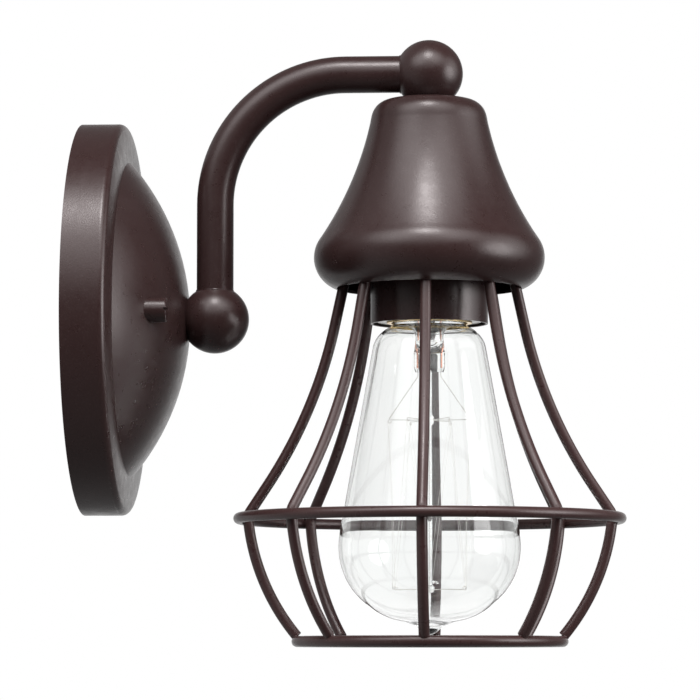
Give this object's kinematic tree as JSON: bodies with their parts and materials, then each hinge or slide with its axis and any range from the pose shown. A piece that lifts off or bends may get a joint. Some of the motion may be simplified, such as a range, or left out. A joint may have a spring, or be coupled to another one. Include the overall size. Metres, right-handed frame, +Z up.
{
  "type": "wall sconce",
  "caption": "Wall light with a round domed canopy, a bent pipe arm between balls, a bell cap, a round wire cage and a clear filament bulb that unscrews.",
  "frame": {"origin": "centre of the mounting plate's back face, in the plane of the wall", "axes": "+X points out of the wall into the room, +Z points up, +Y points to the left of someone who faces the room with their back to the wall"},
  "size_m": [0.1903, 0.138, 0.2137],
  "materials": {
    "oil_rubbed_bronze": "satin dark bronze powder coat",
    "zinc_plated_steel": "bright zinc plate",
    "brass": "plain rolled brass",
    "copper_wire": "copper-clad wire",
    "white_porcelain": "glazed white porcelain",
    "black_insulation": "smooth wire insulation",
    "white_insulation": "smooth wire insulation",
    "green_insulation": "smooth wire insulation",
    "green_screw": "green chromate",
    "clear_glass": "clear blown glass",
    "black_glass": "opaque black glass",
    "solder": "solder",
    "tungsten": "bare drawn wire"
  },
  "bodies": {
    "fixture": {"canopy": "oil_rubbed_bronze", "mounting_plate": "zinc_plated_steel", "canopy_studs": "zinc_plated_steel", "stud_lock_nuts": "zinc_plated_steel", "barrel_nuts": "oil_rubbed_bronze", "ground_screw": "green_screw", "lower_nipple": "zinc_plated_steel", "lower_washer": "zinc_plated_steel", "lower_nut": "zinc_plated_steel", "lower_ball": "oil_rubbed_bronze", "arm_tube": "oil_rubbed_bronze", "upper_ball": "oil_rubbed_bronze", "upper_nipple": "zinc_plated_steel", "cap": "oil_rubbed_bronze", "spacer_tube": "zinc_plated_steel", "cage_plate": "oil_rubbed_bronze", "cage_rib_1": "oil_rubbed_bronze", "cage_rib_2": "oil_rubbed_bronze", "cage_rib_3": "oil_rubbed_bronze", "cage_rib_4": "oil_rubbed_bronze", "cage_rib_5": "oil_rubbed_bronze", "cage_rib_6": "oil_rubbed_bronze", "cage_rib_7": "oil_rubbed_bronze", "cage_rib_8": "oil_rubbed_bronze", "cage_middle_ring": "oil_rubbed_bronze", "cage_bottom_ring": "oil_rubbed_bronze", "socket_cover": "oil_rubbed_bronze", "holder_washer": "zinc_plated_steel", "holder_nut": "zinc_plated_steel", "holder_bracket": "zinc_plated_steel", "bracket_screws": "zinc_plated_steel", "holder_body": "white_porcelain", "screw_shell": "brass", "centre_contact": "brass", "terminal_screws": "brass", "lead_black": "black_insulation", "lead_white": "white_insulation", "ground_wire": "green_insulation"},
    "bulb_lift": {"bulb_contact": "solder"},
    "bulb": {"bulb_glass": "clear_glass", "bulb_base": "brass", "bulb_insulator": "black_glass", "bulb_stem": "clear_glass", "bulb_leads": "copper_wire", "filament_hooks": "tungsten", "filament": "tungsten"}
  },
  "joints": [
    {"name": "bulb_travel", "type": "slide", "parent": "fixture", "child": "bulb_lift", "axis": [0, 0, -1], "range_m": [0, 0.0146]},
    {"name": "bulb_turn", "type": "hinge", "parent": "bulb_lift", "child": "bulb", "pos_m": [0.1216, 0, 0], "axis": [0, 0, -1], "range_deg": [0, 1440]}
  ],
  "couplings": [
    {"joint": "bulb_travel", "follows": "bulb_turn", "m_per_rad": 0.00057751}
  ]
}
